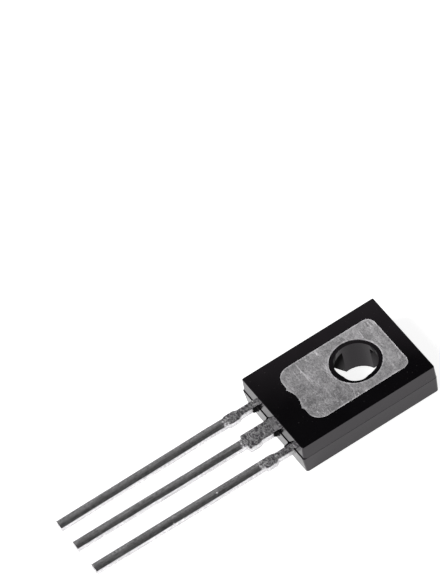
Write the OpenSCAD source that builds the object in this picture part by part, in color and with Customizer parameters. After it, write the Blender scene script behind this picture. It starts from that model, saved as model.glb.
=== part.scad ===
// Flat power transistor with three leads, a screw hole and an exposed mounting plate.
// It lies on its plastic front face: the origin is on the axis of the screw hole, in the
// plane of that face, +Z points up to the mounting plate and the leads run along -Y.
// All sizes are millimetres.

/* [Epoxy body] */
// Length of the body at its parting line, along the leads
body_l = 10.8; // [10.4:0.05:13]
// Width of the body at its parting line
body_w = 7.6; // [7:0.05:10]
// Thickness of the body, from front face to mounting face
body_t = 2.61; // [2.45:0.01:3.2]
// Height of the back half, from parting line to mounting face
back_h = 1.15; // [1.05:0.01:1.25]
// How far the back half draws in on each side, from parting line to mounting face
back_draft = 0.03; // [0:0.01:0.2]
// How far the front half draws in on each side, from parting line to front face
front_draft = 0.07; // [0:0.01:0.2]
// Step in from the front half to the back half on the long sides and the free end
parting_step = 0.01; // [0.005:0.005:0.1]
// Step in from the front half to the back half on the lead side
lead_side_step = 0.1; // [0.01:0.01:0.15]
// How far the body sits off the centre line of the hole and the frame, towards the emitter side
body_off = 0.045; // [0:0.005:0.1]
// Radius of the front half's upright corners
front_corner_r = 0.2; // [0.1:0.01:0.6]
// Radius of the back half's upright corners at the mounting face
back_corner_r = 0.1; // [0.05:0.01:0.6]
// Broken edge around both faces
edge_break = 0.02; // [0.01:0.01:0.15]

/* [Screw hole] */
// Diameter of the moulded screw hole
bore_d = 3.1; // [2.6:0.05:3.4]
// Distance from the hole's axis to the body's free end
hole_to_end = 3.88; // [3.4:0.01:4.4]
// Wall of the moulded ring that lines the plate's hole
ring_wall = 0.29; // [0.15:0.01:0.4]
// How far the ring lies below the mounting face
ring_recess = 0.06; // [0.03:0.01:0.25]
// Number of slots around the hole, open at the front face
slot_count = 3; // [1:1:5]
// Width of each slot
slot_w = 1.2; // [0.6:0.05:1.4]
// Distance from the hole's axis to the outer end of each slot
slot_reach = 2.65; // [2.2:0.05:2.9]

/* [Marks of the mould] */
// Diameter of the shallow round ejector marks
ejector_d = 1.07; // [0.5:0.01:1.2]
// Depth of the ejector marks
ejector_depth = 0.08; // [0.02:0.01:0.15]
// Distance of the two side marks from the hole's centre line
ejector_x = 2.65; // [2.2:0.05:2.9]
// Distance of the two side marks from the hole's axis, towards the free end
ejector_far_y = 2.05; // [1.5:0.05:2.6]
// Distance of the third mark from the hole's axis, towards the leads
ejector_near_y = 2.95; // [2.7:0.05:4]
// Length of the narrow gap at the parting line of the free end
end_gap_l = 2.65; // [1:0.05:4]
// Height of that gap
end_gap_h = 0.15; // [0.05:0.01:0.3]
// Depth of that gap
end_gap_depth = 0.3; // [0.1:0.01:0.6]

/* [Metal frame] */
// Thickness of the sheet that the plate and the leads are stamped from
sheet_t = 0.5; // [0.4:0.01:0.6]
// Width of the mounting plate
plate_w = 5.14; // [4.8:0.02:6]
// Distance from the hole's axis to the plate's far edge
plate_far = 2.82; // [2.5:0.02:3]
// Distance from the hole's axis to the plate's edge on the lead side
plate_near = 4.86; // [4.6:0.02:5]
// Corner radius of the plate's far corners
plate_far_r = 0.65; // [0.2:0.01:0.8]
// Corner radius of the plate's corners on the lead side
plate_near_r = 0.98; // [0.5:0.01:1.2]
// Width of the neck that carries the centre lead
neck_w = 1.86; // [1.4:0.02:2]
// Radius of the fillets between plate and neck
neck_fillet = 0.25; // [0.1:0.01:0.3]
// Radius of the curved edge where the plastic closes over the neck
bite_r = 2.03; // [1.5:0.01:2.6]
// How far that edge lies inside the plate's lead-side edge
bite_in = 0.14; // [0.05:0.01:0.2]
// Thickness of the plastic over the neck at that edge
bite_depth = 0.12; // [0.08:0.01:0.15]
// Inside radius of the neck's two bends
bend_r = 0.25; // [0.1:0.01:0.3]
// Angle of the neck's slope
bend_angle = 60; // [50:1:70]

/* [Leads] */
// Distance between neighbouring leads
lead_pitch = 2.29; // [2.2:0.01:2.54]
// Width of a lead
lead_w = 0.67; // [0.6:0.01:0.76]
// Length of the leads outside the body
lead_out = 15.65; // [10:0.05:16]
// Width of an outer lead where it leaves the body
root_w = 0.56; // [0.5:0.01:0.7]
// Width of the centre lead where it leaves the body
stem_w = 1.2; // [1:0.01:1.5]
// Distance from the body to the start of the wider stretch that the cut tie bar leaves
tie_from = 1.35; // [1:0.05:1.6]
// Distance from the body to the end of that stretch
tie_to = 2.2; // [1.9:0.05:2.6]
// Length over which the leads change width there
tie_taper = 0.12; // [0.05:0.01:0.2]
// What is left of the tie bar on each side of the base lead
base_stub = 0.09; // [0.02:0.01:0.2]
// What is left of the tie bar on one side of the centre lead
centre_stub = 0.13; // [0.02:0.01:0.2]
// What is left of the tie bar on the outer side of the emitter lead
emitter_stub = 0.17; // [0.02:0.01:0.2]
// Width of the bonding posts at the inner ends of the outer leads
post_w = 1.6; // [1:0.05:1.7]
// Length of the bonding posts
post_l = 1.1; // [0.8:0.05:1.2]
// Gap between the plate's lead-side edge and the bonding posts, along the leads
post_gap = 0.37; // [0.25:0.01:0.45]
// Length of the moulding resin left in the corners between the body and the leads' inner sides
flash_l = 0.45; // [0.1:0.05:0.8]
// Width of that resin at the body
flash_root = 0.14; // [0.06:0.01:0.25]
// Width of that resin at its far end
flash_tip = 0.05; // [0.02:0.01:0.06]

/* [Chip and bond wires] */
// Width of the chip
die_w = 2; // [1.4:0.05:2.4]
// Length of the chip along the leads
die_l = 1.8; // [1.2:0.05:1.9]
// Thickness of the chip
die_t = 0.25; // [0.15:0.01:0.3]
// Distance from the hole's axis to the chip's centre
die_y = 3.35; // [3.3:0.01:3.45]
// Thickness of the solder between plate and chip
solder_t = 0.04; // [0.02:0.01:0.08]
// How far the solder spreads beyond the chip on each side
solder_spread = 0.06; // [0:0.01:0.12]
// Diameter of the emitter's bond wire
emitter_wire_d = 0.2; // [0.12:0.01:0.25]
// Diameter of the base's bond wire
base_wire_d = 0.15; // [0.1:0.01:0.2]
// Ratio of a wire loop's radius to half its span
loop_ratio = 1.2; // [1.15:0.01:1.4]

/* [Hidden] */

$fn = 64;
WIRE_FN = 24;
CORNER_STEPS = 6;
BEND_STEPS = 10;
PAST = 1;

epoxy_black = [0.05, 0.05, 0.055];
tin_grey = [0.66, 0.66, 0.65];
silicon_grey = [0.30, 0.32, 0.38];
solder_grey = [0.55, 0.55, 0.57];
aluminium_white = [0.80, 0.80, 0.82];

// Heights
parting_z = body_t - back_h;
plate_under = body_t - sheet_t;
lead_under = parting_z - sheet_t;
die_face = plate_under - solder_t - die_t;

// Places along the leads
lead_end = hole_to_end - body_l;
lead_tip = lead_end - lead_out;
bend_start = -plate_near - neck_fillet;
slope_l = (back_h - (2 * bend_r + sheet_t) * (1 - cos(bend_angle))) / sin(bend_angle);
bend_run = (2 * bend_r + sheet_t) * sin(bend_angle) + slope_l * cos(bend_angle);
neck_end = bend_start - bend_run;
post_y = -plate_near - post_gap - post_l;

// Bond points on the chip, as shares of its width and length from its centre
EMITTER_BOND = [0.22, 0.1];
BASE_BOND = [-0.3, -0.15];

function arc(centre, r, from, to, steps) =
    [for (i = [0:steps]) let (a = from + (to - from) * i / steps)
        [centre.x + r * cos(a), centre.y + r * sin(a)]];

// Outline of the body at one level, which is [height, inset, corner radius, inset of the
// lead side]: a rounded rectangle drawn in by the insets
function level_points(level) =
    let (r = level[2], x = body_w / 2 - level[1] - r,
         far = hole_to_end - level[1] - r, near = lead_end + level[3] + r)
    [for (quarter = [0:3])
        let (cx = (quarter == 0 || quarter == 3) ? x : -x, cy = quarter < 2 ? far : near)
        for (p = arc([body_off + cx, cy], r, 90 * quarter, 90 * quarter + 90, CORNER_STEPS))
            [p.x, p.y, level[0]]];

// Solid through a stack of levels
module body_stack(levels) {
    count = 4 * (CORNER_STEPS + 1);
    last = len(levels) - 1;
    polyhedron(
        points = [for (level = levels) each level_points(level)],
        faces = concat(
            [[for (k = [0:count - 1]) k]],
            [for (i = [0:last - 1]) for (k = [0:count - 1])
                let (a = i * count + k, b = i * count + (k + 1) % count)
                [a, a + count, b + count, b]],
            [[for (k = [count - 1:-1:0]) last * count + k]]));
}

module drafted_block() {
    back_inset = parting_step + back_draft;
    back_end = lead_side_step + back_draft;
    front_inset = front_draft + edge_break;
    body_stack([
        [0, front_inset, front_corner_r, front_inset],
        [edge_break, front_draft, front_corner_r, front_draft],
        [parting_z, 0, front_corner_r, 0],
        [parting_z, parting_step, front_corner_r, lead_side_step],
        [body_t - edge_break, back_inset, back_corner_r, back_end],
        [body_t, back_inset + edge_break, back_corner_r, back_end + edge_break]
    ]);
}

module bore() {
    translate([0, 0, -PAST]) cylinder(d = bore_d, h = body_t + 2 * PAST);
}

module ring_step() {
    translate([0, 0, body_t - ring_recess]) cylinder(d = bore_d + 2 * ring_wall, h = ring_recess + PAST);
}

// The first slot points away from the leads
module slots() {
    for (i = [0:slot_count - 1])
        rotate([0, 0, 90 + i * 360 / slot_count])
            translate([0, -slot_w / 2, -PAST])
                cube([slot_reach, slot_w, plate_under + PAST]);
}

module ejector_marks() {
    for (spot = [[-ejector_x, ejector_far_y], [ejector_x, ejector_far_y], [0, -ejector_near_y]])
        translate([spot.x, spot.y, -PAST]) cylinder(d = ejector_d, h = PAST + ejector_depth);
}

module end_gap() {
    translate([body_off - end_gap_l / 2, hole_to_end - end_gap_depth, parting_z - end_gap_h])
        cube([end_gap_l, end_gap_depth + PAST, end_gap_h]);
}

// Resin left on one side of a lead: edge is that side's distance from the centre line, and
// the resin stands off it towards the side that sign gives
module resin_flash(edge, sign) {
    in_lead_plane()
        polygon([
            [edge, lead_end + PAST / 2],
            [edge + sign * flash_root, lead_end + PAST / 2],
            [edge + sign * flash_root, lead_end],
            [edge + sign * flash_tip, lead_end - flash_l],
            [edge, lead_end - flash_l]
        ]);
}

module epoxy_body() {
    outer_edge = lead_pitch - root_w / 2;
    color(epoxy_black)
        difference() {
            union() {
                drafted_block();
                for (side = [-1, 1]) {
                    resin_flash(side * stem_w / 2, side);
                    resin_flash(side * outer_edge, -side);
                }
            }
            bore();
            ring_step();
            slots();
            ejector_marks();
            end_gap();
            collector_frame();
            emitter_lead();
            base_lead();
            silicon_die();
            die_solder();
            emitter_bond_wire();
            base_bond_wire();
        }
}

// Flat outline of the mounting plate, with a stub of the neck and its fillets
module plate_outline() {
    half = plate_w / 2;
    far_flat = plate_far - plate_far_r;
    near_flat = plate_near_r - plate_near;
    translate([-half, near_flat]) square([plate_w, far_flat - near_flat]);
    translate([plate_far_r - half, 0]) square([plate_w - 2 * plate_far_r, plate_far]);
    translate([plate_near_r - half, -plate_near]) square([plate_w - 2 * plate_near_r, plate_near]);
    for (side = [-1, 1]) {
        translate([side * (half - plate_far_r), far_flat]) circle(r = plate_far_r);
        translate([side * (half - plate_near_r), near_flat]) circle(r = plate_near_r);
    }
    difference() {
        stub_half = neck_w / 2 + neck_fillet;
        translate([-stub_half, bend_start]) square([2 * stub_half, plate_near]);
        for (side = [-1, 1])
            translate([side * stub_half, bend_start]) circle(r = neck_fillet);
    }
}

// Side view of the neck as [y, z] points: two bends with a slope between them
function neck_profile() =
    let (inner = bend_r, outer = bend_r + sheet_t,
         upper = [bend_start, plate_under - bend_r],
         lower = [neck_end, parting_z + bend_r])
    concat(
        [[bend_start + neck_fillet, body_t]],
        arc(upper, outer, 90, 90 + bend_angle, BEND_STEPS),
        arc(lower, inner, bend_angle - 90, -90, BEND_STEPS),
        [[neck_end - neck_fillet, parting_z], [neck_end - neck_fillet, lead_under]],
        arc(lower, outer, -90, bend_angle - 90, BEND_STEPS),
        arc(upper, inner, 90 + bend_angle, 90, BEND_STEPS),
        [[bend_start + neck_fillet, plate_under]]);

module neck() {
    rotate([90, 0, 90]) linear_extrude(neck_w, center = true) polygon(neck_profile());
}

// One long edge of a lead from the body to the tip: half widths at the body, over the
// wider stretch and beyond it. The points run outwards on the side that sign gives.
function lead_edge(sign, root_half, wide_half) =
    [for (step = [
        [0, root_half],
        [tie_from - tie_taper, root_half],
        [tie_from + tie_taper, wide_half],
        [tie_to, wide_half],
        [tie_to + tie_taper, lead_w / 2],
        [lead_out, lead_w / 2]])
        [sign * step[1], lead_end - step[0]]];

function reversed(points) = [for (i = [len(points) - 1:-1:0]) points[i]];

function lead_outline(root_half, wide_left, wide_right) =
    concat(lead_edge(-1, root_half, wide_left), reversed(lead_edge(1, root_half, wide_right)));

module in_lead_plane() {
    translate([0, 0, lead_under]) linear_extrude(sheet_t) children();
}

module collector_frame() {
    stem_half = stem_w / 2;
    color(tin_grey) {
        difference() {
            union() {
                translate([0, 0, plate_under]) linear_extrude(sheet_t) plate_outline();
                neck();
                in_lead_plane() {
                    polygon(lead_outline(stem_half, stem_half, stem_half + centre_stub));
                    translate([-stem_half, lead_end]) square([stem_w, neck_end - lead_end]);
                }
            }
            translate([0, 0, plate_under - PAST])
                cylinder(d = bore_d + 2 * ring_wall, h = sheet_t + 2 * PAST);
            translate([0, bite_in - plate_near - bite_r, body_t - bite_depth])
                cylinder(r = bite_r, h = bite_depth + PAST);
        }
    }
}

// Outer lead with its bonding post, drawn about its own centre line
module outer_lead(wide_left, wide_right) {
    in_lead_plane() {
        polygon(lead_outline(root_w / 2, wide_left, wide_right));
        translate([-root_w / 2, lead_end]) square([root_w, post_y + post_l / 2 - lead_end]);
        translate([-post_w / 2, post_y]) square([post_w, post_l]);
    }
}

module emitter_lead() {
    color(tin_grey)
        translate([lead_pitch, 0, 0]) outer_lead(lead_w / 2, lead_w / 2 + emitter_stub);
}

module base_lead() {
    color(tin_grey)
        translate([-lead_pitch, 0, 0]) outer_lead(lead_w / 2 + base_stub, lead_w / 2 + base_stub);
}

module silicon_die() {
    color(silicon_grey)
        translate([-die_w / 2, -die_y - die_l / 2, die_face]) cube([die_w, die_l, die_t]);
}

module die_solder() {
    w = die_w + 2 * solder_spread;
    l = die_l + 2 * solder_spread;
    color(solder_grey)
        translate([-w / 2, -die_y - l / 2, plate_under - solder_t]) cube([w, l, solder_t]);
}

// Round wire that loops towards the front face from one bond point to the other,
// with both ends run a little way into what they are bonded to
module wire_loop(start, finish, d) {
    across = norm([finish.x - start.x, finish.y - start.y]);
    drop = start.z - finish.z;
    span = norm([across, drop]);
    r = loop_ratio * span / 2;
    lift = sqrt(r * r - span * span / 4);
    centre = [across / 2 + lift * drop / span, lift * across / span - drop / 2];
    from = atan2(-centre.y, -centre.x) + 360;
    to = atan2(-drop - centre.y, across - centre.x) + 360;
    lap = atan(d / r);
    translate(start)
        rotate([90, 0, atan2(finish.y - start.y, finish.x - start.x)])
            translate([centre.x, centre.y, 0])
                rotate([0, 0, from - lap])
                    rotate_extrude(angle = to - from + 2 * lap, $fn = $fn)
                        translate([r, 0]) circle(d = d, $fn = WIRE_FN);
}

function on_die(share) = [share.x * die_w, share.y * die_l - die_y, die_face];

// Centre of the bonding post on the side that sign gives, on its front face
function on_post(sign) = [sign * lead_pitch, post_y + post_l / 2, lead_under];

module emitter_bond_wire() {
    color(aluminium_white)
        difference() {
            wire_loop(on_die(EMITTER_BOND), on_post(1), emitter_wire_d);
            silicon_die();
            emitter_lead();
        }
}

module base_bond_wire() {
    color(aluminium_white)
        difference() {
            wire_loop(on_die(BASE_BOND), on_post(-1), base_wire_d);
            silicon_die();
            base_lead();
        }
}

epoxy_body();
collector_frame();
emitter_lead();
base_lead();
silicon_die();
die_solder();
emitter_bond_wire();
base_bond_wire();
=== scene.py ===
"""A flat power transistor that lies on its plastic front face, with its mounting plate up.

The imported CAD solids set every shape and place. Here each visible solid gets a dressed copy
with rounded edges, the rolled and dented skin of stamped metal and small marks of moulding,
and each material its procedural look. +Z points up, the leads run along -Y, and all lengths
are metres unless a name or comment says otherwise."""

import math

import bmesh
import bpy
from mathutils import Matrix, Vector, kdtree, noise


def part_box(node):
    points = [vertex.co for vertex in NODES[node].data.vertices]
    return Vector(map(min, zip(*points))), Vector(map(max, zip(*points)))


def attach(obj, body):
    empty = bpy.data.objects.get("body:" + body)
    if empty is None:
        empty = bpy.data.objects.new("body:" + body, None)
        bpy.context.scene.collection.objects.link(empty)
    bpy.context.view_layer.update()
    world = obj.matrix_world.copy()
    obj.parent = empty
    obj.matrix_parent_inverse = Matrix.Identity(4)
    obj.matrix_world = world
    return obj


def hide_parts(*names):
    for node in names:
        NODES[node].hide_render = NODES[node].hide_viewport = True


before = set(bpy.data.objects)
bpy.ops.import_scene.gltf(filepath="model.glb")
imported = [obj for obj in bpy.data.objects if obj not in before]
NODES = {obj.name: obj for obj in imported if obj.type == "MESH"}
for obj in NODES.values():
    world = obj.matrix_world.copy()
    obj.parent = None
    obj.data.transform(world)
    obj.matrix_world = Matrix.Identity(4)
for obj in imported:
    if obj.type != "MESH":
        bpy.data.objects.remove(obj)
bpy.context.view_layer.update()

MM = 0.001
WHITE = (1.0, 1.0, 1.0, 1.0)

# Camera, fitted to the body's corners, the hole and the lead tips
CAMERA_PLACE = Vector((238.725, -98.49, 330.28)) * MM
CAMERA_TURN_DEG = (38.210, 9.526, 57.364)
LENS_MM = 390.5
SENSOR_HEIGHT_MM = 36.0
CLIP_START = 0.01

# Lamps: azimuth (0 along +X, 90 along +Y) and elevation in degrees, and watts
LAMPS = {"key": (255, 42, 10.0), "fill": (300, 40, 3.0)}
LAMP_DISTANCE = 1.0
LAMP_SIZE = 0.5

# Floor. In mirrored views its glow is strong below the hole, faint outside that and full beyond
# the slots, which paints the body's shadow on it: (from, to) distance from the hole's axis in mm,
# and the share of the glow at each
FLOOR_SIZE = 4.0
FLOOR_COLOUR = (0.42, 0.42, 0.42, 1.0)
FLOOR_GLOW = 0.9
FLOOR_WITHIN_HOLE = ((1.4, 2.3), (0.75, 0.05))
FLOOR_BEYOND_SLOTS = ((3.2, 3.3), (0.0, 1.0))

# The surroundings are darkest up and to the +X side: (place, brightness), where the place is the
# sine of the elevation with SKY_LEAN of the direction's X added
SKY_LEAN = 0.4
SKY_STOPS = ((0.0, 0.8), (0.06, 0.7), (0.14, 0.6), (0.28, 0.5),
             (0.42, 0.24), (0.53, 0.08), (0.66, 0.02), (1.0, 0.01))

# Cleaning, cutting and rounding of the copied solids
WELD = 0.0005 * MM
CUT_NEAR = WELD / 10
LEVEL = 0.001 * MM
FLAT_DEG = 0.4
SHARP_DEG = 24.0
SMOOTH_DEG = 50.0
BODY_ROUND = 0.012 * MM
BODY_ROUND_STEPS = 2
METAL_ROUND = 0.022 * MM
METAL_ROUND_STEPS = 3

# Stretches of a noise: alike in all directions, changing along Y or X only, and drawn out along Y
EVEN = (1, 1, 1)
ALONG = (0, 1, 0)
ACROSS = (1, 0, 0)
DRAWN = (1, 0.08, 1)

# Places and sizes of the leads, from the frame and the stamping
TIP_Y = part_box("emitter_lead")[0][1]
LEAD_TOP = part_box("emitter_lead")[1][2]
LEAD_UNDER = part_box("emitter_lead")[0][2]
BODY_END = TIP_Y + 15.65 * MM
PLATE_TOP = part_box("collector_frame")[1][2]
PITCH = 2.29 * MM
LEAD_HALF = 0.335 * MM
WIDE_FROM = 1.35 * MM
WIDE_TO = 2.2 * MM
WIDE_TAPER = 0.12 * MM

# Centre line of each lead, and the +X edge's distance from it at the root and over the wide stretch
LEADS = {
    "base_lead": (-PITCH, 0.28 * MM, 0.425 * MM),
    "collector_frame": (0.0, 0.6 * MM, 0.73 * MM),
    "emitter_lead": (PITCH, 0.28 * MM, 0.505 * MM),
}

# How far each lead is bent aside: (distance from the body, shift along X), in mm
LEAD_BENDS = {
    "base_lead": ((0, -0.03), (1, -0.03), (1.6, 0), (3.6, -0.034), (6.6, -0.016), (15.65, -0.01)),
    "collector_frame": ((0, 0), (3.6, -0.045), (6.6, -0.054), (10.6, -0.115), (15.65, -0.165)),
    "emitter_lead": ((0, 0.06), (1, 0.06), (1.6, 0), (3.6, -0.002), (6.6, -0.012),
                     (10.6, -0.04), (15.65, -0.09)),
}

# Share of its width that the centre lead loses beyond the wide stretch
CENTRE_SQUEEZE = 0.06

# How finely the leads' skin is cut, how far past the wide stretch the fine cuts go, half the width
# that the lengthwise cuts cover, and how far into the body and below the top the cut faces reach
LEAD_FINE = 0.045 * MM
LEAD_COARSE = 0.12 * MM
FINE_PAST_WIDE = 0.6 * MM
LEAD_CUT_HALF = 0.8 * MM
ROOT_MARGIN = 0.05 * MM
TOP_MARGIN = 0.1 * MM

# Lengths over which the shaping sets in at the body, and the skin turns plain past the wide stretch
SHAPE_OVER = 0.03 * MM
PLAIN_OVER = 0.4 * MM

# Stamped edge that rolls off on the leads' +X side: share of the width, drop at the edge, share of
# the drop that is straight, and share that is left on the wide stretch. The width and the drop
# vary along the lead: (amount, size, seed)
ROLL_SHARE = 0.66
ROLL_DROP = 0.095 * MM
ROLL_STRAIGHT = 0.25
ROLL_ON_WIDE = 0.2
ROLL_SHARE_VARIES = (0.2, 0.9 * MM, 5.0)
ROLL_DROP_VARIES = (0.25, 1.6 * MM, 1.0)

# Unevenness of the leads' skin on and beyond the wide stretch: (depth, size, seed), and a stretch
# where it isn't even
ROUGH_SKIN = ((0.014 * MM, 0.2 * MM, 0.0), (0.008 * MM, 0.1 * MM, 4.0))
DRAWN_SKIN = ((0.006 * MM, 0.14 * MM, 0.0, DRAWN), (0.004 * MM, 0.3 * MM, 2.0))

# A few deeper dents, where one noise of this (size, seed) is above a level
DENT_NOISE = (0.35 * MM, 8.0)
DENT_FROM = 0.78
DENT_DEPTH = 0.12 * MM

# Fine ridges across the leads where the tie bar was cut off: distance from the body and height,
# half their width, and how far and over what size they bend
CROSS_MARKS = ((2.28 * MM, 0.014 * MM), (2.45 * MM, 0.012 * MM))
CROSS_MARK_HALF = 0.035 * MM
CROSS_MARK_BEND = 0.03 * MM
CROSS_MARK_BEND_SIZE = 0.3 * MM

# Painted glints: bright spots on the leads' edges, and their radius, in mm
LEAD_GLINT_SPOTS = ((0.22, -12.32, 1.44), (2.32, -12.87, 1.44), (2.55, -16.45, 1.40), (-1.96, -20.06, 1.30))
GLINT_SPOT_RADIUS = 0.07

# Shallow dents in the mounting plate: distance between the cuts, how far these reach past the
# bite's edge, how far the whole face is pressed in, and the dents' (depth, size, seed)
PLATE_CUT = 0.08 * MM
PLATE_PAST_BITE = 0.4 * MM
PLATE_PRESSED = 0.002 * MM
PLATE_SKIN = ((0.003 * MM, 0.5 * MM, 0.0), (0.004 * MM, 0.2 * MM, 6.0))

# Curved edge where the plastic closes over the neck, and its tears: (share of BITE_RAGGED, size, seed)
BITE_CENTRE = Vector((0, -6.75, 0)) * MM
BITE_RADIUS = 2.03 * MM
BITE_ON_ARC = 0.02 * MM
BITE_OVERLAP = 0.012 * MM
BITE_HALF = 1.2 * MM
BITE_NEAR = 0.15 * MM
BITE_CUT = 0.04 * MM
BITE_RAGGED = 0.05 * MM
BITE_TEARS = ((2.0, 0.2 * MM, 3.7), (2.4, 0.08 * MM, 9.1))

# Inner edge of the lining ring, worn above one height: (angle in degrees, outward shift in mm)
RING_INNER = 1.55 * MM
RING_NEAR = 0.03 * MM
RING_WORN_FROM = 2.3 * MM
RING_WEAR = ((-180, 0), (-120, 0), (-100, -0.08), (-71, -0.16), (-48, 0.04), (-31, 0.08), (-14, 0.08),
             (0, -0.07), (23, -0.08), (45, 0), (180, 0))

# Torn resin beside the leads: how far its cuts reach and how close they are, and the distances
# from the body's end at which its faces count as torn, its points move and it is thinned in full
RESIN_REACH = 0.5 * MM
RESIN_CUT_Y = 0.05 * MM
RESIN_CUT_Z = 0.08 * MM
RESIN_FACE_OUT = 0.005 * MM
RESIN_OUT = 0.01 * MM
RESIN_THIN_OUT = 0.1 * MM

# Share of its width and of its length that the resin loses at most, each with a noise's (size, seed)
RESIN_THINS = 0.85
RESIN_THIN_NOISE = (0.12 * MM, 5.0)
RESIN_SETS_BACK = 0.6
RESIN_BACK_NOISE = (0.09 * MM, 9.0)

# How far the resin's top crumples, mostly downwards, and how deep below it that reaches
RESIN_CRUMPLE = 0.05 * MM
RESIN_CRUMPLE_NOISE = (0.1 * MM, 1.5)
RESIN_CRUMPLE_LEVEL = 0.7
RESIN_TOP_BAND = 0.05 * MM

# Ledge at the parting line: how far the upper half's foot leans out, and where that foot lies
LEDGE_LEAN = 0.045 * MM
LEDGE_FOOT = (0.02 * MM, 0.2 * MM)

# Measures kept in the meshes for the materials: how near a point is to the plate's rim or hole,
# where a highlight is painted, and how far it is rolled off, where shade is painted. The rim's
# points are those near the top, within RIM_DEPTH, that have a face whose normal's Z is under RIM_LEVEL
RIM = "rim"
RIM_WIDTH = 0.13 * MM
RIM_DEPTH = 0.03 * MM
RIM_LEVEL = 0.975
ROLLED = "rolled"

# Where the leads' looks change, as (from, to) in mm: heights near the top, and places along Y
TOP_BAND = (LEAD_TOP / MM - 0.13, LEAD_TOP / MM - 0.06)
ROLL_BAND = (LEAD_TOP / MM - 0.15, LEAD_TOP / MM - 0.11)
WIDE_BAND = ((BODY_END - WIDE_TO) / MM - 0.55, (BODY_END - WIDE_TO) / MM - 0.25)

# Colours, which are linear, ranges of roughness, and indexes of refraction
EPOXY_CLEAR = (0.0003, 0.0002, 0.0006, 1)
# Lighter resin colour, for the random haze and for the painted light across the body
EPOXY_HAZE_AND_PAINTED_LIGHT = (0.0150, 0.0130, 0.0148, 1)
EPOXY_DUST = (0.04, 0.038, 0.038, 1)
EPOXY_TINT = (1.0, 0.92, 1.0, 1)
EPOXY_ROUGHNESS = (0.09, 0.19)
EPOXY_IOR = 1.49
TORN_DEEP = (0.0008, 0.0007, 0.0010, 1)
TORN_CRUMB = (0.010, 0.009, 0.010, 1)
TORN_ROUGHNESS = (0.6, 0.85)
TORN_IOR = 1.2
PLATE_DULL = (0.50, 0.49, 0.505, 1)
PLATE_BRIGHT = (1.0, 0.98, 1.0, 1)
# Pale tin in scratches and specks, also used for the painted highlight along the rim
PLATE_BARE_AND_HIGHLIGHT = (0.98, 0.96, 0.98, 1)
PLATE_ROUGHNESS = (0.38, 0.50)
LEAD_DULL = (0.40, 0.39, 0.405, 1)
LEAD_BRIGHT = (1.0, 0.99, 1.0, 1)
# Pale colour of the painted glints
LEAD_GLINT_COLOUR = (0.95, 0.95, 0.95, 1)
# Dark colours of the painted shade in the dents' hollows and on the rolled edge
LEAD_PAINTED_DENT_SHADE = (0.16, 0.15, 0.165, 1)
LEAD_PAINTED_EDGE_SHADE = (0.14, 0.13, 0.145, 1)
LEAD_ROUGHNESS = (0.30, 0.42)

# Painted light that makes the body lighter towards -X and +Y, and brightness that changes across the plate:
# change per mm along X and Y
EPOXY_PAINTED_LIGHT_LEAN = (-0.16, 0.04)
PLATE_LEAN = (-0.009, 0.008)

# How strongly marks and painted light show: in colour, as chalk that is less metallic, and in roughness
PLATE_SPECKS = 0.25
PLATE_WEAR_AND_RIM_HIGHLIGHT = 0.9
PLATE_MARK_CHALK = 0.3
PLATE_RIM_HIGHLIGHT = 0.55
PLATE_MARK_ROUGH = 0.1
LEAD_EDGE_SHADE = 0.45
CROSS_MARK_SHINE = 0.7
LEAD_GLINT_CHALK = 0.6
LEAD_SPECK_CHALK = 0.22
LEAD_GLINT_ROUGH = 0.4

# Sets of scratches in the plate: direction in degrees, and the lines' half width in their noise.
# Along its lines a set is drawn out, and it shows only where a coarser noise is high
SCRATCHES = ((20, 0.016), (75, 0.014), (131, 0.014), (160, 0.014))
SCRATCH_STRETCH = (0.25, 2.6, 0.5)
SCRATCH_PATCHES_PER_MM = 0.7
SCRATCH_SHOWN = (0.50, 0.58)

# Metals of the pieces sealed inside the epoxy: colour, roughness and grains per mm
SEALED_METALS = {
    "silicon": ((0.30, 0.32, 0.38), 0.2, 4.0),
    "solder": ((0.55, 0.55, 0.57), 0.5, 12.0),
    "aluminium": ((0.80, 0.80, 0.82), 0.3, 20.0),
}
SEALED_NODES = {
    "silicon_die": "silicon",
    "die_solder": "solder",
    "emitter_bond_wire": "aluminium",
    "base_bond_wire": "aluminium",
}

# Brightness of their dark grains, and the range of their roughness, as shares of the values above
SEALED_GRAIN_SHADE = 0.8
SEALED_ROUGH_SPREAD = (0.8, 1.2)


def new_object(name, mesh):
    piece = bpy.data.objects.new(name, mesh)
    bpy.context.scene.collection.objects.link(piece)
    return piece


def clean_copy(node):
    """A bmesh of a CAD node with its facets joined into whole flat faces."""
    bm = bmesh.new()
    bm.from_mesh(NODES[node].data)
    bmesh.ops.remove_doubles(bm, verts=bm.verts, dist=WELD)
    bmesh.ops.dissolve_limit(bm, angle_limit=math.radians(FLAT_DEG), verts=bm.verts, edges=bm.edges)
    return bm


def sharp_edges(bm):
    limit = math.radians(SHARP_DEG)
    return [e for e in bm.edges if len(e.link_faces) == 2 and e.calc_face_angle() > limit]


def round_edges(bm, radius, steps, keep=lambda place: False):
    edges = [e for e in sharp_edges(bm) if not keep((e.verts[0].co + e.verts[1].co) / 2)]
    bmesh.ops.bevel(bm, geom=edges, offset=radius, segments=steps, profile=0.5,
                    affect="EDGES", clamp_overlap=True)


def places(start, stop, step):
    """Evenly spaced places between two ends, about one step apart."""
    count = max(1, round((stop - start) / step))
    return [start + (stop - start) * i / count for i in range(1, count)]


def slice_faces(bm, axis, cuts, inside):
    """Cuts the faces that inside accepts along planes across one axis."""
    across = Vector((0, 0, 0))
    across[axis] = 1
    for cut in cuts:
        faces = [f for f in bm.faces if inside(f)
                 and min(v.co[axis] for v in f.verts) < cut < max(v.co[axis] for v in f.verts)]
        parts = {p for f in faces for p in (*f.verts, *f.edges)}
        bmesh.ops.bisect_plane(bm, geom=faces + list(parts), dist=CUT_NEAR,
                               plane_co=across * cut, plane_no=across)


def limited(value):
    return min(1, max(0, value))


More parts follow.
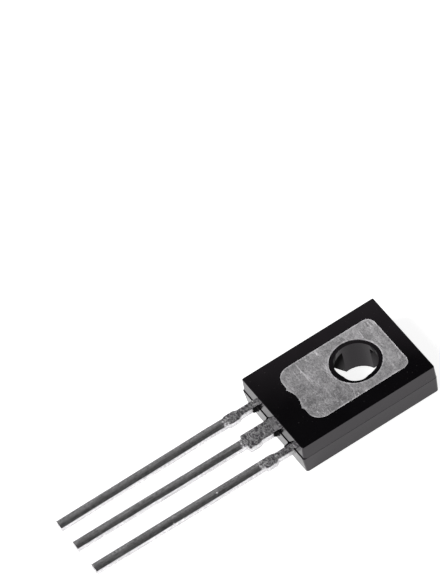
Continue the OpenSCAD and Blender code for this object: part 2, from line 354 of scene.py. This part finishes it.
def between(value, points):
    """Straight-line value at one place, from (place, value) points in rising order."""
    for (a, low), (b, high) in zip(points, points[1:]):
        if value < b:
            return low + (high - low) * limited((value - a) / (b - a))
    return points[-1][1]


def bumpy(place, size, seed=0.0, stretch=EVEN):
    """Smooth noise from 0 to 1 with features about one size across."""
    x, y, z = (c * s / size for c, s in zip(place, stretch))
    return 0.5 + 0.5 * noise.noise(Vector((x + seed, y - seed, z)))


def layered(place, layers):
    """Depth at one place of several noises, each with its own depth, laid over each other."""
    return sum(depth * bumpy(place, *shape) for depth, *shape in layers)


def varied(place, amount, size, seed):
    """A factor that changes along the leads, by up to amount around 1."""
    return 1 + amount * (2 * bumpy(place, size, seed, ALONG) - 1)


def near_bite(place):
    out = (Vector((place.x, place.y, 0)) - BITE_CENTRE).length - BITE_RADIUS
    return abs(out) < BITE_NEAR and abs(place.x) < BITE_HALF and place.y > BITE_CENTRE.y


def make_bite_ragged(bm, spread=0.0):
    """Tears the edge of the plastic over the neck, alike in the plastic and in the metal, and
    spreads the plastic a little over the metal."""
    def on_arc(place):
        flat = Vector((place.x, place.y, 0)) - BITE_CENTRE
        near = abs(flat.length - BITE_RADIUS) < BITE_ON_ARC
        return near and place.y > BITE_CENTRE.y and place.z > LEAD_TOP

    def at_bite(face):
        return near_bite(face.calc_center_median()) or any(on_arc(v.co) for v in face.verts)

    slice_faces(bm, 0, places(-BITE_HALF, BITE_HALF, BITE_CUT), at_bite)
    for v in bm.verts:
        if on_arc(v.co):
            flat = Vector((v.co.x, v.co.y, 0)) - BITE_CENTRE
            tear = sum(share * (bumpy((v.co.x, 0, 0), *shape) - 0.5) for share, *shape in BITE_TEARS)
            place = BITE_CENTRE + flat.normalized() * (BITE_RADIUS + tear * BITE_RAGGED + spread)
            v.co.x, v.co.y = place.x, place.y


def slice_lead(bm, lead):
    """Cuts a lead's skin finely enough for its dents, finest near the body."""
    centre = LEADS[lead][0]
    fine_end = BODY_END - WIDE_TO - FINE_PAST_WIDE

    def outside(face):
        return face.calc_center_median().y < BODY_END + ROOT_MARGIN

    def top(face):
        return outside(face) and face.normal.z > 0.5 and face.calc_center_median().z > LEAD_TOP - TOP_MARGIN

    slice_faces(bm, 1, places(fine_end, BODY_END, LEAD_FINE), outside)
    slice_faces(bm, 1, places(TIP_Y, fine_end, LEAD_COARSE), outside)
    slice_faces(bm, 0, places(centre - LEAD_CUT_HALF, centre + LEAD_CUT_HALF, LEAD_FINE), top)


def less_cross_marks(drop, place, out):
    """The skin's drop at a place, less the height of the ridges that the tie bar's cutting left."""
    for spot, height in CROSS_MARKS:
        bend = CROSS_MARK_BEND * (bumpy(place, CROSS_MARK_BEND_SIZE, spot / MM, ACROSS) - 0.5)
        near = abs(out - spot - bend) / CROSS_MARK_HALF
        if near < 1:
            drop = max(0.0, drop - height * (1 + math.cos(math.pi * near)) / 2)
    return drop


def shape_lead(bm, lead):
    """Rolls the +X edge off, dents the skin and bends the lead a little aside."""
    centre, root, wide = LEADS[lead]
    rolled = bm.verts.layers.float.new(ROLLED)
    edge_points = ((0, root), (WIDE_FROM - WIDE_TAPER, root), (WIDE_FROM + WIDE_TAPER, wide),
                   (WIDE_TO, wide), (WIDE_TO + WIDE_TAPER, LEAD_HALF))
    for v in bm.verts:
        out = BODY_END - v.co.y
        if out < 0:
            continue
        place = (v.co.x, v.co.y, 0)
        high = limited((v.co.z - LEAD_UNDER) / (LEAD_TOP - LEAD_UNDER))
        start = min(1, out / SHAPE_OVER)
        plain = limited((out - WIDE_TO) / PLAIN_OVER)
        edge = between(out, edge_points)
        roll_width = 2 * edge * ROLL_SHARE * varied(place, *ROLL_SHARE_VARIES)
        roll = limited(1 - (centre + edge - v.co.x) / roll_width)
        v[rolled] = roll * plain * high
        drop = ROLL_DROP * (ROLL_STRAIGHT * roll + (1 - ROLL_STRAIGHT) * roll * roll)
        drop *= (ROLL_ON_WIDE + (1 - ROLL_ON_WIDE) * plain) * varied(place, *ROLL_DROP_VARIES)
        dent = max(0, bumpy(place, *DENT_NOISE) - DENT_FROM) * DENT_DEPTH
        drop += layered(place, ROUGH_SKIN) * (1 - plain) + (layered(place, DRAWN_SKIN) + dent) * plain
        v.co.z -= less_cross_marks(drop, place, out) * high * start
        if lead == "collector_frame":
            v.co.x -= (v.co.x - centre) * CENTRE_SQUEEZE * plain
        v.co.x += between(out / MM, LEAD_BENDS[lead]) * MM * start


def shape_plate(bm):
    """Presses shallow dents and hollows into the mounting plate's face."""
    def top(face):
        return face.normal.z > 0.5 and face.calc_center_median().z > PLATE_TOP - LEVEL

    (x0, _, _), (x1, y1, _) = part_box("collector_frame")
    y0 = BITE_CENTRE.y + BITE_RADIUS - PLATE_PAST_BITE
    slice_faces(bm, 0, places(x0, x1, PLATE_CUT), top)
    slice_faces(bm, 1, places(y0, y1, PLATE_CUT), top)
    for v in bm.verts:
        if v.co.z > PLATE_TOP - LEVEL:
            v.co.z -= PLATE_PRESSED + layered((v.co.x, v.co.y, 0), PLATE_SKIN)


def mark_rim(bm):
    """Measures how near each point of the plate's face is to the rim or the hole, from 1 to 0."""
    bm.normal_update()
    rim = bm.verts.layers.float.new(RIM)
    high = [v for v in bm.verts if v.co.z > PLATE_TOP - RIM_DEPTH]
    edge = [v.co for v in high if any(f.normal.z < RIM_LEVEL for f in v.link_faces)]
    tree = kdtree.KDTree(len(edge))
    for index, place in enumerate(edge):
        tree.insert(place, index)
    tree.balance()
    for v in high:
        v[rim] = max(0.0, 1 - tree.find(v.co)[2] / RIM_WIDTH)


def wear_ring(bm):
    """Chips and thickens the lining ring's inner edge at the mounting face."""
    for v in bm.verts:
        radius = math.hypot(v.co.x, v.co.y)
        if v.co.z > RING_WORN_FROM and abs(radius - RING_INNER) < RING_NEAR:
            turn_deg = math.degrees(math.atan2(v.co.y, v.co.x))
            share = (v.co.z - RING_WORN_FROM) / (PLATE_TOP - RING_WORN_FROM)
            grow = 1 + between(turn_deg, RING_WEAR) * MM * share / radius
            v.co.x *= grow
            v.co.y *= grow


def tear_resin(bm):
    """Makes the resin left beside the leads ragged. It stays within its solid."""
    edges = [centre + side * half for centre, half, _ in LEADS.values() for side in (-1, 1)]

    def torn(face):
        return face.calc_center_median().y < BODY_END - RESIN_FACE_OUT

    slice_faces(bm, 1, places(BODY_END - RESIN_REACH, BODY_END, RESIN_CUT_Y), torn)
    slice_faces(bm, 2, places(LEAD_UNDER, LEAD_TOP, RESIN_CUT_Z), torn)
    for v in bm.verts:
        out = BODY_END - v.co.y
        if out <= RESIN_OUT:
            continue
        place = tuple(v.co)
        nearest = min(edges, key=lambda edge: abs(edge - v.co.x))
        left = 1 - RESIN_THINS * bumpy(place, *RESIN_THIN_NOISE) * min(1, out / RESIN_THIN_OUT)
        v.co.x = nearest + (v.co.x - nearest) * left
        v.co.y = BODY_END - out * (1 - RESIN_SETS_BACK * bumpy(place, *RESIN_BACK_NOISE))
        if v.co.z > LEAD_TOP - RESIN_TOP_BAND:
            v.co.z += (bumpy(place, *RESIN_CRUMPLE_NOISE) - RESIN_CRUMPLE_LEVEL) * RESIN_CRUMPLE
    for face in bm.faces:
        face.material_index = int(torn(face))


def narrow_ledge(bm):
    """Leans the upper half's end face out at its foot, so that less of the ledge below it shows."""
    nearest, furthest = LEDGE_FOOT
    for v in bm.verts:
        if abs(v.co.z - LEAD_TOP) < LEVEL and nearest < v.co.y - BODY_END < furthest:
            v.co.y -= LEDGE_LEAN


def patch_areas(bm):
    """Area of the flat patch that each face belongs to, by face index."""
    limit = math.cos(math.radians(FLAT_DEG))
    areas = {}
    for first in bm.faces:
        if first.index in areas:
            continue
        patch, todo = {first.index: first}, [first]
        while todo:
            for edge in todo.pop().edges:
                for face in edge.link_faces:
                    if face.index not in patch and face.normal.dot(first.normal) > limit:
                        patch[face.index] = face
                        todo.append(face)
        area = sum(face.calc_area() for face in patch.values())
        areas.update((index, area) for index in patch)
    return areas


def even_normals(bm):
    """A normal for each corner of each face: flat faces stay flat, and curves run smooth."""
    bm.faces.index_update()
    areas = patch_areas(bm)
    limit = math.cos(math.radians(SMOOTH_DEG))
    normals = []
    for face in bm.faces:
        for vert in face.verts:
            whole = Vector((0, 0, 0))
            for beside in vert.link_faces:
                if beside.normal.dot(face.normal) > limit:
                    whole += beside.normal * areas[beside.index]
            normals.append(whole.normalized())
    return normals


def finish_piece(bm, name, node, slot, *materials):
    """Turns a bmesh into the piece that stands for a CAD node."""
    bmesh.ops.triangulate(bm, faces=bm.faces)
    bm.normal_update()
    normals = even_normals(bm)
    mesh = bpy.data.meshes.new(name)
    bm.to_mesh(mesh)
    bm.free()
    mesh.shade_smooth()
    mesh.normals_split_custom_set(normals)
    for material in materials:
        mesh.materials.append(material)
    piece = new_object(name, mesh)
    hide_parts(node)
    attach(piece, "root")


def make_body(epoxy, torn_epoxy):
    bm = clean_copy("epoxy_body")
    narrow_ledge(bm)
    round_edges(bm, BODY_ROUND, BODY_ROUND_STEPS, near_bite)
    make_bite_ragged(bm, BITE_OVERLAP)
    wear_ring(bm)
    tear_resin(bm)
    finish_piece(bm, "moulded_body", "epoxy_body", "epoxy", epoxy, torn_epoxy)


def make_frame(plate_tin, lead_tin):
    bm = clean_copy("collector_frame")
    round_edges(bm, METAL_ROUND, METAL_ROUND_STEPS, near_bite)
    make_bite_ragged(bm)
    slice_lead(bm, "collector_frame")
    shape_lead(bm, "collector_frame")
    shape_plate(bm)
    mark_rim(bm)
    for face in bm.faces:
        face.material_index = int(face.calc_center_median().y < BODY_END)
    finish_piece(bm, "plate_and_centre_lead", "collector_frame", "tinned_copper", plate_tin, lead_tin)


def make_outer_lead(node, lead_tin):
    bm = clean_copy(node)
    round_edges(bm, METAL_ROUND, METAL_ROUND_STEPS)
    slice_lead(bm, node)
    shape_lead(bm, node)
    finish_piece(bm, node + "_dressed", node, "tinned_copper", lead_tin)


class Nodes:
    """Short calls for building one material's node tree, in which places are in mm."""

    def __init__(self, name):
        self.material = bpy.data.materials.new(name)
        self.material.use_nodes = True
        self.tree = self.material.node_tree
        self.shader = self.tree.nodes["Principled BSDF"]
        coords = self.tree.nodes.new("ShaderNodeTexCoord")
        self.mm = self.mapped(coords.outputs["Object"], scale=(1 / MM,) * 3)

    def give(self, socket, value):
        """Links another node's output to a socket, or sets a plain value on it."""
        if hasattr(value, "is_linked"):
            self.tree.links.new(value, socket)
        else:
            socket.default_value = value

    def set(self, name, value):
        self.give(self.shader.inputs[name], value)

    def mapped(self, source, scale=EVEN, turn=(0, 0, 0)):
        node = self.tree.nodes.new("ShaderNodeMapping")
        node.inputs["Scale"].default_value = scale
        node.inputs["Rotation"].default_value = turn
        self.give(node.inputs["Vector"], source)
        return node.outputs["Vector"]

    def noise(self, places, per_mm, detail=3.0, rough=0.55, distortion=0.0):
        node = self.tree.nodes.new("ShaderNodeTexNoise")
        node.inputs["Scale"].default_value = per_mm
        node.inputs["Detail"].default_value = detail
        node.inputs["Roughness"].default_value = rough
        node.inputs["Distortion"].default_value = distortion
        self.give(node.inputs["Vector"], places)
        return node.outputs["Fac"]

    def spread(self, value, given, wanted=(0.0, 1.0)):
        """Spreads the given (from, to) range of a value over the wanted one."""
        node = self.tree.nodes.new("ShaderNodeMapRange")
        for socket, end in zip(("From Min", "From Max", "To Min", "To Max"), (*given, *wanted)):
            node.inputs[socket].default_value = end
        self.give(node.inputs["Value"], value)
        return node.outputs["Result"]

    def math(self, operation, *values):
        node = self.tree.nodes.new("ShaderNodeMath")
        node.operation = operation
        for socket, value in zip(node.inputs, values):
            self.give(socket, value)
        return node.outputs["Value"]

    def times(self, a, b):
        return self.math("MULTIPLY", a, b)

    def larger(self, a, b):
        return self.math("MAXIMUM", a, b)

    def away(self, value, middle):
        """How far a value is from its middle, either way."""
        return self.math("ABSOLUTE", self.math("SUBTRACT", value, middle))

    def weighted(self, *pairs):
        """Sum of (value, share) pairs, each value times its share."""
        total = self.times(*pairs[0])
        for value, share in pairs[1:]:
            total = self.math("ADD", total, self.times(value, share))
        return total

    def shifted(self, value, by, amount):
        """A value moved up or down by a noise's difference from 0.5, times amount."""
        return self.math("ADD", value, self.times(self.math("SUBTRACT", by, 0.5), amount))

    def mix(self, factor, a, b):
        node = self.tree.nodes.new("ShaderNodeMix")
        node.data_type = "RGBA"
        for socket, value in (("Factor", factor), ("A", a), ("B", b)):
            self.give(node.inputs[socket], value)
        return node.outputs["Result"]

    def bump(self, height, strength, depth, under=None):
        node = self.tree.nodes.new("ShaderNodeBump")
        node.inputs["Strength"].default_value = strength
        node.inputs["Distance"].default_value = depth
        self.give(node.inputs["Height"], height)
        if under is not None:
            self.give(node.inputs["Normal"], under)
        return node.outputs["Normal"]

    def attribute(self, name):
        node = self.tree.nodes.new("ShaderNodeAttribute")
        node.attribute_name = name
        return node.outputs["Fac"]

    def axis(self, letter):
        node = self.tree.nodes.new("ShaderNodeSeparateXYZ")
        self.give(node.inputs["Vector"], self.mm)
        return node.outputs[letter]

    def distance(self, place):
        node = self.tree.nodes.new("ShaderNodeVectorMath")
        node.operation = "DISTANCE"
        node.inputs[1].default_value = place
        self.give(node.inputs[0], self.mm)
        return node.outputs["Value"]

    def spot(self, place, radius):
        """1 at a place, fading to 0 at a distance of radius."""
        return self.spread(self.distance(place), (radius / 2, radius), (1.0, 0.0))

    def scratches(self, turn_deg, half_width):
        """1 on fine lines that run one way and fade in and out, 0 between them."""
        lines = self.mapped(self.mm, scale=SCRATCH_STRETCH, turn=(0, 0, math.radians(turn_deg)))
        away = self.away(self.noise(lines, per_mm=1.0, detail=1.0), 0.5)
        # These patches may lie at any turn, as long as each set of lines has its own
        patches = self.noise(self.mapped(self.mm, turn=(0, 0, turn_deg)), SCRATCH_PATCHES_PER_MM)
        line = self.spread(away, (0.0, half_width), (1.0, 0.0))
        return self.times(line, self.spread(patches, SCRATCH_SHOWN))


def epoxy_material():
    """Glossy black resin with a cloudy haze, painted light towards -X and +Y, faint smears and dust."""
    n = Nodes("black_epoxy")
    cloud = n.noise(n.mm, per_mm=0.3, detail=2.0)
    grain = n.noise(n.mm, per_mm=14.0, detail=4.0)
    streak = n.noise(n.mapped(n.mm, scale=(0.5, 0.5, 7.0)), per_mm=1.0)
    dust = n.spread(n.noise(n.mm, per_mm=9.0, detail=1.0), (0.76, 0.8))
    # Painted light: the lean along X and Y lightens the resin towards -X and +Y; the cloud is random haze
    lean_x, lean_y = EPOXY_PAINTED_LIGHT_LEAN
    haze_and_painted_light = n.weighted((n.axis("X"), lean_x), (cloud, 0.6), (n.axis("Y"), lean_y))
    resin = n.mix(n.spread(haze_and_painted_light, (0.0, 1.0)), EPOXY_CLEAR, EPOXY_HAZE_AND_PAINTED_LIGHT)
    n.set("Base Color", n.mix(dust, resin, EPOXY_DUST))
    smear = n.weighted((grain, 0.5), (streak, 0.5))
    n.set("Roughness", n.spread(smear, (0.35, 0.65), EPOXY_ROUGHNESS))
    n.set("IOR", EPOXY_IOR)
    n.set("Specular Tint", EPOXY_TINT)
    uneven = n.bump(streak, strength=0.25, depth=0.006 * MM)
    n.set("Normal", n.bump(grain, strength=0.15, depth=0.003 * MM, under=uneven))
    return n.material


def torn_epoxy_material():
    """Broken resin: the same black, but matt and crumbly."""
    n = Nodes("torn_epoxy")
    crumb = n.noise(n.mm, per_mm=9.0, detail=4.0, rough=0.7)
    n.set("Base Color", n.mix(n.spread(crumb, (0.4, 0.7)), TORN_DEEP, TORN_CRUMB))
    n.set("Roughness", n.spread(crumb, (0.3, 0.7), TORN_ROUGHNESS))
    n.set("IOR", TORN_IOR)
    n.set("Normal", n.bump(crumb, strength=1.0, depth=0.05 * MM))
    return n.material


def plate_material():
    """Tin with a cloudy, scratched skin, and a pale painted highlight along its rim and hole."""
    n = Nodes("mottled_tin")
    blotch = n.noise(n.mm, per_mm=1.3, rough=0.6)
    mottle = n.noise(n.mm, per_mm=5.5, detail=5.0, rough=0.75, distortion=0.4)
    grain = n.noise(n.mm, per_mm=12.0, rough=0.7)
    specks = n.spread(n.noise(n.mm, per_mm=19.0, detail=2.0, rough=0.7), (0.58, 0.70))
    broken = n.spread(n.noise(n.mm, per_mm=2.5), (0.40, 0.60), (0.55, 1.0))

    lean_x, lean_y = PLATE_LEAN
    skin = n.shifted(n.weighted((mottle, 0.35), (grain, 0.65)), blotch, 0.34)
    skin = n.math("ADD", skin, n.weighted((n.axis("X"), lean_x), (n.axis("Y"), lean_y)))
    skin = n.spread(skin, (0.37, 0.63))
    marks = n.times(specks, PLATE_SPECKS)
    for turn_deg, half_width in SCRATCHES:
        marks = n.larger(marks, n.scratches(turn_deg, half_width))
    # Painted highlight: a pale, less metallic line along the rim and the hole, broken up by noise
    rim = n.times(n.attribute(RIM), broken)
    wear_and_rim_highlight = n.times(n.larger(marks, rim), PLATE_WEAR_AND_RIM_HIGHLIGHT)
    n.set("Base Color", n.mix(wear_and_rim_highlight, n.mix(skin, PLATE_DULL, PLATE_BRIGHT), PLATE_BARE_AND_HIGHLIGHT))

    chalk_and_highlight = n.larger(n.times(marks, PLATE_MARK_CHALK), n.spread(rim, (0.2, 0.9), (0.0, PLATE_RIM_HIGHLIGHT)))
    n.set("Metallic", n.math("SUBTRACT", 1.0, chalk_and_highlight))
    roughness = n.spread(skin, (0.0, 1.0), PLATE_ROUGHNESS)
    n.set("Roughness", n.math("ADD", roughness, n.times(marks, PLATE_MARK_ROUGH)))
    uneven = n.bump(mottle, strength=0.5, depth=0.01 * MM)
    n.set("Normal", n.bump(grain, strength=0.6, depth=0.008 * MM, under=uneven))
    return n.material


def painted_glints(n, top, blotch, streak):
    """Painted glints: 1 on a few bright spots, less on broken lines on the tie bar's ridges, 0 elsewhere.
    """
    glints = n.spot(LEAD_GLINT_SPOTS[0], GLINT_SPOT_RADIUS)
    for place in LEAD_GLINT_SPOTS[1:]:
        glints = n.larger(glints, n.spot(place, GLINT_SPOT_RADIUS))
    wavy = n.shifted(n.axis("Y"), blotch, 0.45)
    broken = n.times(top, n.spread(streak, (0.42, 0.60)))
    for spot, _ in CROSS_MARKS:
        line = n.spread(n.away(wavy, (BODY_END - spot) / MM), (0.01, 0.06), (CROSS_MARK_SHINE, 0.0))
        glints = n.larger(glints, n.times(line, broken))
    return glints


def lead_material():
    """Tin drawn along the leads, with streaks, specks and painted glints. Painted shade darkens the
    hollows of the dents on the wide stretch and the top where the edge rolls off."""
    n = Nodes("drawn_tin")
    blotch = n.noise(n.mm, per_mm=4.5, detail=4.0, rough=0.6)
    streak = n.noise(n.mapped(n.mm, scale=(11.0, 0.4, 11.0)), per_mm=1.0)
    grain = n.noise(n.mapped(n.mm, scale=(1.0, 0.5, 1.0)), per_mm=16.0)
    squashed = n.mapped(n.mm, scale=(0.8, 1.2, 1.0))
    dents = n.noise(squashed, per_mm=6.0, detail=4.0, rough=0.65, distortion=0.8)
    specks = n.spread(n.noise(n.mm, per_mm=16.0, detail=2.0, rough=0.7), (0.54, 0.66))
    top = n.spread(n.axis("Z"), TOP_BAND)
    wide = n.times(n.spread(n.axis("Y"), WIDE_BAND), top)
    glints = painted_glints(n, top, blotch, streak)

    skin = n.spread(n.weighted((blotch, 0.4), (streak, 0.6)), (0.38, 0.62))
    skin = n.weighted((skin, 0.55), (n.spread(grain, (0.4, 0.6)), 0.45))
    colour = n.mix(skin, LEAD_DULL, LEAD_BRIGHT)
    # Painted shade: the hollows of the dents on the wide stretch are darkened
    dented = n.times(n.spread(dents, (0.56, 0.44), (0.1, 1.0)), wide)
    colour = n.mix(dented, colour, LEAD_PAINTED_DENT_SHADE)
    # Painted shade: the top darkens where the edge rolls off
    rolled = n.spread(n.shifted(n.attribute(ROLLED), grain, 0.8), (0.10, 0.60), (0.0, LEAD_EDGE_SHADE))
    colour = n.mix(n.times(rolled, n.spread(n.axis("Z"), ROLL_BAND)), colour, LEAD_PAINTED_EDGE_SHADE)
    # Painted glints: pale, less metallic and rougher on a few spots and along the tie bar's ridges
    n.set("Base Color", n.mix(glints, colour, LEAD_GLINT_COLOUR))

    chalk_and_highlight = n.larger(n.times(glints, LEAD_GLINT_CHALK), n.times(specks, LEAD_SPECK_CHALK))
    n.set("Metallic", n.math("SUBTRACT", 1.0, chalk_and_highlight))
    roughness = n.spread(grain, (0.3, 0.7), LEAD_ROUGHNESS)
    n.set("Roughness", n.math("ADD", roughness, n.times(glints, LEAD_GLINT_ROUGH)))
    uneven = n.bump(streak, strength=1.0, depth=0.014 * MM)
    uneven = n.bump(n.times(dents, wide), strength=1.0, depth=0.045 * MM, under=uneven)
    n.set("Normal", n.bump(grain, strength=1.0, depth=0.008 * MM, under=uneven))
    return n.material


def sealed_metal(name, colour, roughness, grains_per_mm):
    """Plain metal with a fine grain."""
    n = Nodes(name)
    grain = n.noise(n.mm, grains_per_mm, detail=4.0)
    dark = tuple(c * SEALED_GRAIN_SHADE for c in colour) + (1.0,)
    n.set("Base Color", n.mix(n.spread(grain, (0.35, 0.65)), dark, colour + (1.0,)))
    n.set("Metallic", 1.0)
    rough_range = tuple(roughness * share for share in SEALED_ROUGH_SPREAD)
    n.set("Roughness", n.spread(grain, (0.3, 0.7), rough_range))
    return n.material


def dress_sealed_nodes():
    metals = {name: sealed_metal(name, *look) for name, look in SEALED_METALS.items()}
    for node, metal in SEALED_NODES.items():
        NODES[node].material_slots[0].material = metals[metal]


def floor_material():
    """Pale matt floor that glows to the camera and in mirrored views, and keeps its shadow. In
    mirrored views the glow is painted dark under the body, as its shadow.
    """
    n = Nodes("pale_floor")
    ray = n.tree.nodes.new("ShaderNodeLightPath").outputs
    away = n.distance((0, 0, 0))
    # Painted shadow: mirrored views see little glow under the body
    open_share = n.larger(n.spread(away, *FLOOR_WITHIN_HOLE), n.spread(away, *FLOOR_BEYOND_SLOTS))
    seen = n.larger(ray["Is Camera Ray"], n.times(ray["Is Glossy Ray"], open_share))
    n.set("Base Color", FLOOR_COLOUR)
    n.set("Roughness", 1.0)
    n.set("Specular IOR Level", 0.0)
    n.set("Emission Color", WHITE)
    n.set("Emission Strength", n.times(seen, FLOOR_GLOW))
    return n.material


def make_floor():
    mesh = bpy.data.meshes.new("floor")
    bm = bmesh.new()
    bmesh.ops.create_grid(bm, x_segments=1, y_segments=1, size=FLOOR_SIZE / 2)
    bm.to_mesh(mesh)
    bm.free()
    mesh.materials.append(floor_material())
    new_object("floor", mesh)


def fill_ramp(ramp, stops):
    """Gives a colour ramp, which starts with two stops, its grey levels."""
    elements = ramp.color_ramp.elements
    for element, (place, level) in zip(elements, (stops[0], stops[-1])):
        element.position = place
        element.color = (level, level, level, 1)
    for place, level in stops[1:-1]:
        elements.new(place).color = (level, level, level, 1)


def make_world():
    """Surroundings that are bright near the horizon, dark up towards +X, and white to the camera."""
    world = bpy.data.worlds.new("studio")
    bpy.context.scene.world = world
    world.use_nodes = True
    nodes, links = world.node_tree.nodes, world.node_tree.links
    nodes.clear()
    coords = nodes.new("ShaderNodeTexCoord")
    split = nodes.new("ShaderNodeSeparateXYZ")
    lean = nodes.new("ShaderNodeMath")
    ramp = nodes.new("ShaderNodeValToRGB")
    sky = nodes.new("ShaderNodeBackground")
    white = nodes.new("ShaderNodeBackground")
    path = nodes.new("ShaderNodeLightPath")
    choose = nodes.new("ShaderNodeMixShader")
    out = nodes.new("ShaderNodeOutputWorld")
    lean.operation = "MULTIPLY_ADD"
    lean.inputs[1].default_value = SKY_LEAN
    white.inputs["Color"].default_value = WHITE
    fill_ramp(ramp, SKY_STOPS)
    links.new(coords.outputs["Generated"], split.inputs["Vector"])
    links.new(split.outputs["X"], lean.inputs[0])
    links.new(split.outputs["Z"], lean.inputs[2])
    links.new(lean.outputs["Value"], ramp.inputs["Fac"])
    links.new(ramp.outputs["Color"], sky.inputs["Color"])
    links.new(path.outputs["Is Camera Ray"], choose.inputs["Fac"])
    links.new(sky.outputs["Background"], choose.inputs[1])
    links.new(white.outputs["Background"], choose.inputs[2])
    links.new(choose.outputs["Shader"], out.inputs["Surface"])


def soft_box(name, azimuth_deg, elevation_deg, watts):
    """Square area lamp aimed at the object."""
    lamp = bpy.data.lights.new(name, "AREA")
    lamp.size = LAMP_SIZE
    lamp.energy = watts
    holder = new_object(name, lamp)
    azimuth, elevation = math.radians(azimuth_deg), math.radians(elevation_deg)
    level = math.cos(elevation)
    away = Vector((math.cos(azimuth) * level, math.sin(azimuth) * level, math.sin(elevation)))
    holder.location = away * LAMP_DISTANCE
    holder.rotation_euler = away.to_track_quat("Z", "Y").to_euler()


def make_camera():
    lens = bpy.data.cameras.new("camera")
    lens.sensor_fit = "VERTICAL"
    lens.sensor_height = SENSOR_HEIGHT_MM
    lens.lens = LENS_MM
    lens.clip_start = CLIP_START
    camera = new_object("camera", lens)
    camera.location = CAMERA_PLACE
    camera.rotation_euler = [math.radians(a) for a in CAMERA_TURN_DEG]
    bpy.context.scene.camera = camera


make_camera()
make_world()
make_floor()
for lamp_name, lamp_settings in LAMPS.items():
    soft_box(lamp_name, *lamp_settings)

tin = lead_material()
make_body(epoxy_material(), torn_epoxy_material())
make_frame(plate_material(), tin)
make_outer_lead("emitter_lead", tin)
make_outer_lead("base_lead", tin)
dress_sealed_nodes()

bpy.context.scene.view_settings.view_transform = "Standard"
